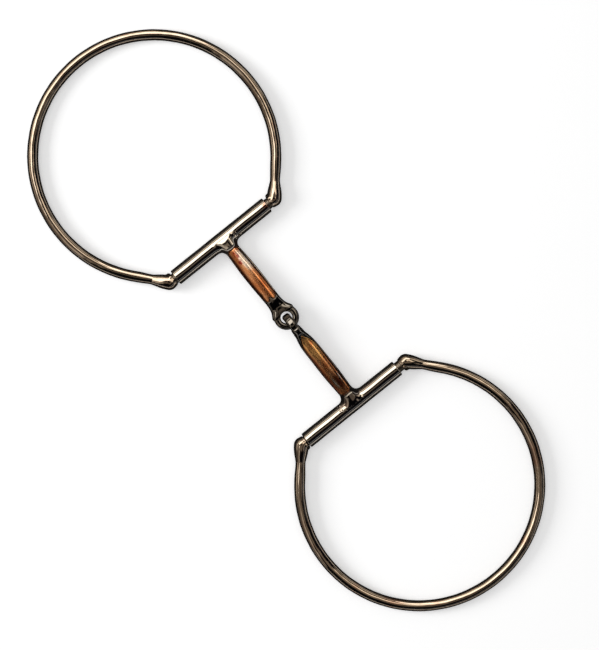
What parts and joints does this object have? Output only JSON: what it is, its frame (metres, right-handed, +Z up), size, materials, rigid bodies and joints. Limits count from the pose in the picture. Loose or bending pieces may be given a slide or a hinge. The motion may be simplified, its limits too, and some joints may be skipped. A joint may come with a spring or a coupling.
{
  "type": "snaffle bit",
  "caption": "Western ring snaffle bit: large wire rings hinged on straight barrels, and a single-jointed steel mouth with copper inlay.",
  "frame": {"origin": "on the ground, in the middle of the bit, under its mouth joint", "axes": "+X along the mouthpiece towards the right ring, +Y along the barrels, +Z up from the ground the bit lies on"},
  "size_m": [0.4022, 0.1512, 0.015],
  "materials": {
    "ring_iron": "polished, browned sweet iron round wire, fine draw marks",
    "rod_steel": "bare darkened steel rod, worn bright where it turns",
    "barrel_iron": "polished gunmetal-grey iron with a smoothed weld",
    "mouth_iron": "dark polished sweet iron, worn at the joint",
    "copper": "polished copper inlay with brown tarnish"
  },
  "bodies": {
    "left_mouth": {"left_barrel": "barrel_iron", "left_t_weld": "barrel_iron", "left_mouth_arm": "mouth_iron", "left_upper_copper_inlay": "copper", "left_lower_copper_inlay": "copper"},
    "left_ring": {"left_ring_loop": "ring_iron", "left_ring_front_knuckle": "ring_iron", "left_ring_rear_knuckle": "ring_iron", "left_hinge_rod": "rod_steel"},
    "right_mouth": {"right_barrel": "barrel_iron", "right_t_weld": "barrel_iron", "right_mouth_arm": "mouth_iron", "right_upper_copper_inlay": "copper", "right_lower_copper_inlay": "copper"},
    "right_ring": {"right_ring_loop": "ring_iron", "right_ring_front_knuckle": "ring_iron", "right_ring_rear_knuckle": "ring_iron", "right_hinge_rod": "rod_steel"}
  },
  "joints": [
    {"name": "mouth_fold", "type": "hinge", "parent": "left_mouth", "child": "right_mouth", "pos_m": [0.00275, 0.00115, 0.0075], "axis": [0, 1, 0], "range_deg": [-40, 40]},
    {"name": "left_ring_swing", "type": "hinge", "parent": "left_mouth", "child": "left_ring", "pos_m": [-0.0621, -0.00085, 0.005], "axis": [0, 1, 0], "range_deg": [-90, 90]},
    {"name": "right_ring_swing", "type": "hinge", "parent": "right_mouth", "child": "right_ring", "pos_m": [0.0621, -0.00085, 0.005], "axis": [0, 1, 0], "range_deg": [-90, 90]}
  ]
}
